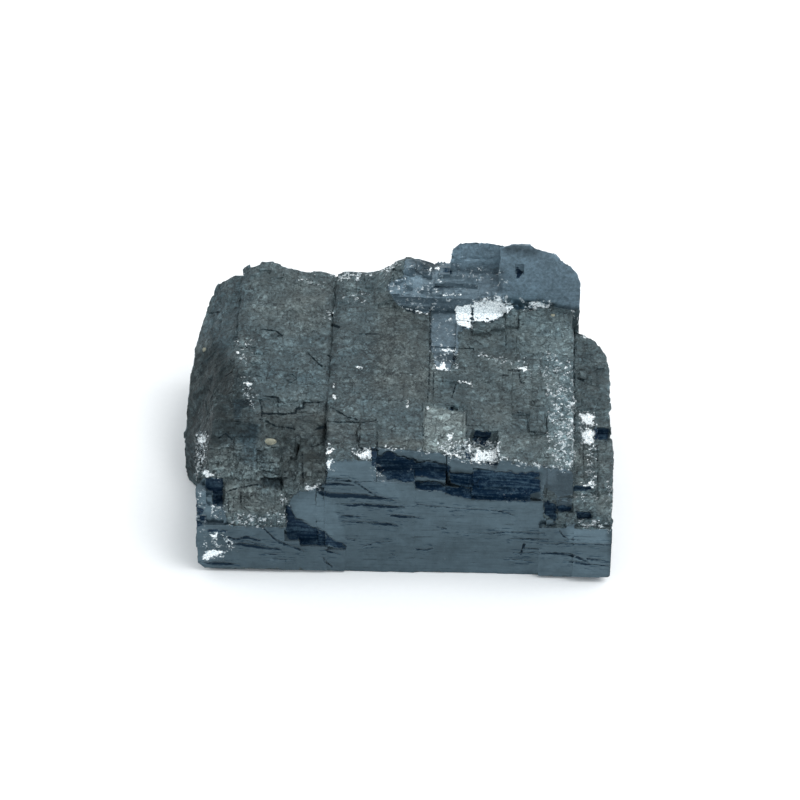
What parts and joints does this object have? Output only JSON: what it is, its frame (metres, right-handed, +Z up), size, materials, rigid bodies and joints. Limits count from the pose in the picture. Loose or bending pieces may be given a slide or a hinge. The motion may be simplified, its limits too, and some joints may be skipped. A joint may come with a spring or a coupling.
{
  "type": "galena specimen",
  "caption": "Squarish hand specimen of galena: a cleaved lead-grey lump with stepped square ledges, a weathered top plate and a raised block at the back, for display on a shelf",
  "frame": {"origin": "middle of the flat base that the lump rests on", "axes": "+X along the specimen's length, to the viewer's right in the picture; +Y to its back, away from the fresh front face; +Z up"},
  "size_m": [0.075, 0.052, 0.0395],
  "materials": {
    "galena": null
  },
  "bodies": {
    "root": {"galena": "galena"}
  },
  "joints": []
}
